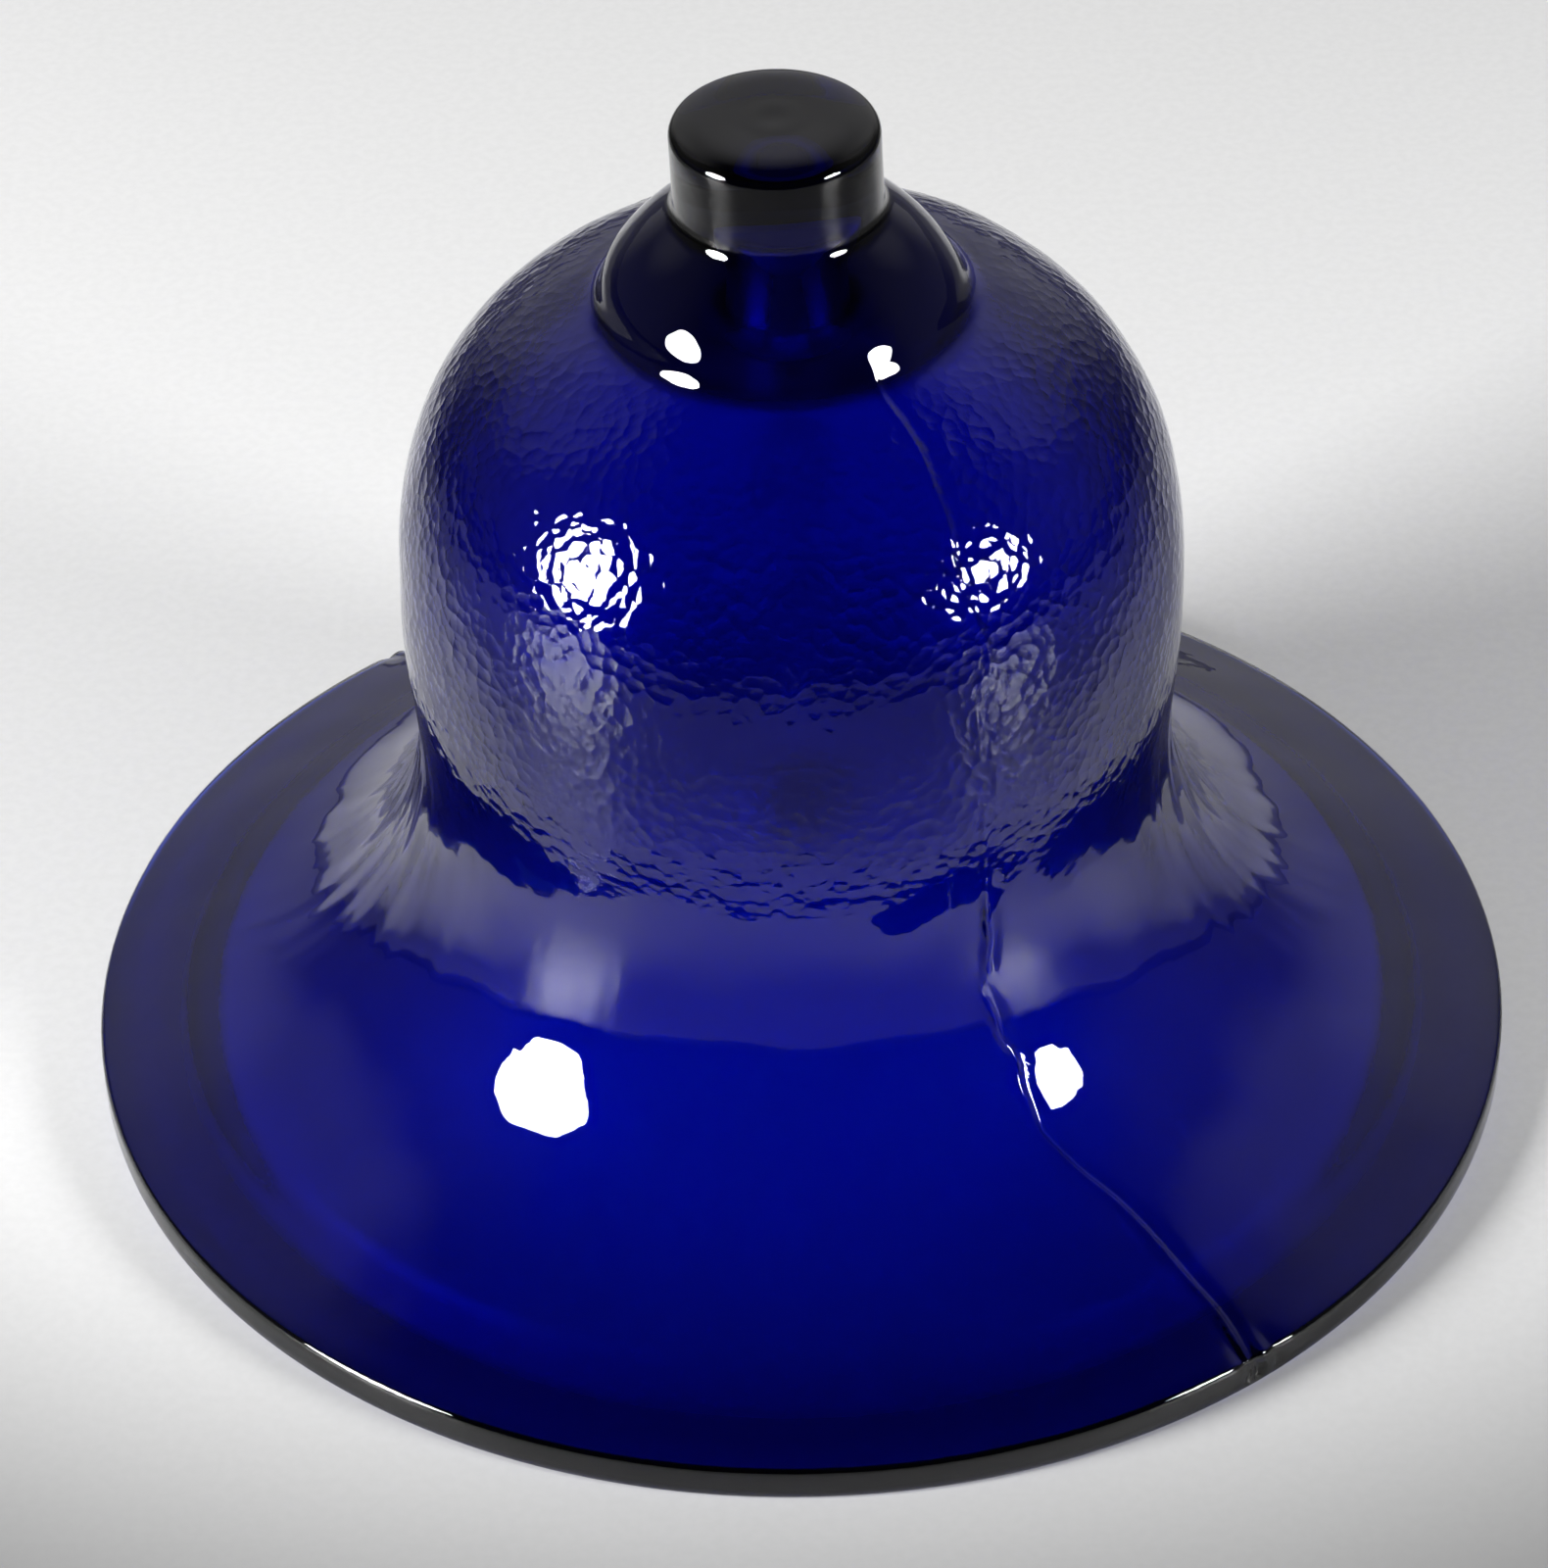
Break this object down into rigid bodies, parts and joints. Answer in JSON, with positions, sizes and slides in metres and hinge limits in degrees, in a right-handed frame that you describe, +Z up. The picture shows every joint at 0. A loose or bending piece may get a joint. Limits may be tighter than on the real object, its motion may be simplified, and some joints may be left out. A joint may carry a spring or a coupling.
{
  "type": "glass hand bell",
  "caption": "Cobalt blue pressed-glass bell with a solid pinch knob, a domed crown and a wide flared brim, and a glass bead clapper on a wire chain inside",
  "frame": {"origin": "centre of the rim's flat underside, which the bell stands on", "axes": "+Z up along the bell's axis of turning; the chain's first link swings about X"},
  "size_m": [0.14, 0.14, 0.1055],
  "materials": {
    "cobalt_glass": "fire-polished cobalt blue glass with a fine hammered chill texture",
    "bead_glass": "smooth cobalt blue glass",
    "nickel_wire": "nickel-plated steel wire, dulled by age",
    "nickel_sheet": "stamped nickel-plated steel sheet, dulled by age",
    "plaster": "matt white plaster of Paris"
  },
  "bodies": {
    "bell": {"glass_bell": "cobalt_glass", "socket_plaster": "plaster", "hanger_eye": "nickel_wire"},
    "link_1": {"chain_link_1": "nickel_wire"},
    "link_2": {"chain_link_2": "nickel_wire"},
    "link_3": {"chain_link_3": "nickel_wire"},
    "link_4": {"chain_link_4": "nickel_wire"},
    "link_5": {"chain_link_5": "nickel_wire"},
    "clapper": {"clapper_eye_pin": "nickel_wire", "clapper_bead": "bead_glass", "clapper_washer": "nickel_sheet"}
  },
  "joints": [
    {"name": "link_1_swing", "type": "hinge", "parent": "bell", "child": "link_1", "pos_m": [0, 0, 0.0762], "axis": [1, 0, 0], "range_deg": [-8, 8]},
    {"name": "link_2_swing", "type": "hinge", "parent": "link_1", "child": "link_2", "pos_m": [0, 0, 0.06925], "axis": [0, 1, 0], "range_deg": [-8, 8]},
    {"name": "link_3_swing", "type": "hinge", "parent": "link_2", "child": "link_3", "pos_m": [0, 0, 0.06215], "axis": [1, 0, 0], "range_deg": [-10, 10]},
    {"name": "link_4_swing", "type": "hinge", "parent": "link_3", "child": "link_4", "pos_m": [0, 0, 0.05505], "axis": [0, 1, 0], "range_deg": [-12, 12]},
    {"name": "link_5_swing", "type": "hinge", "parent": "link_4", "child": "link_5", "pos_m": [0, 0, 0.04795], "axis": [1, 0, 0], "range_deg": [-15, 15]},
    {"name": "clapper_swing", "type": "hinge", "parent": "link_5", "child": "clapper", "pos_m": [0, 0, 0.04085], "axis": [0, 1, 0], "range_deg": [-20, 20]}
  ]
}
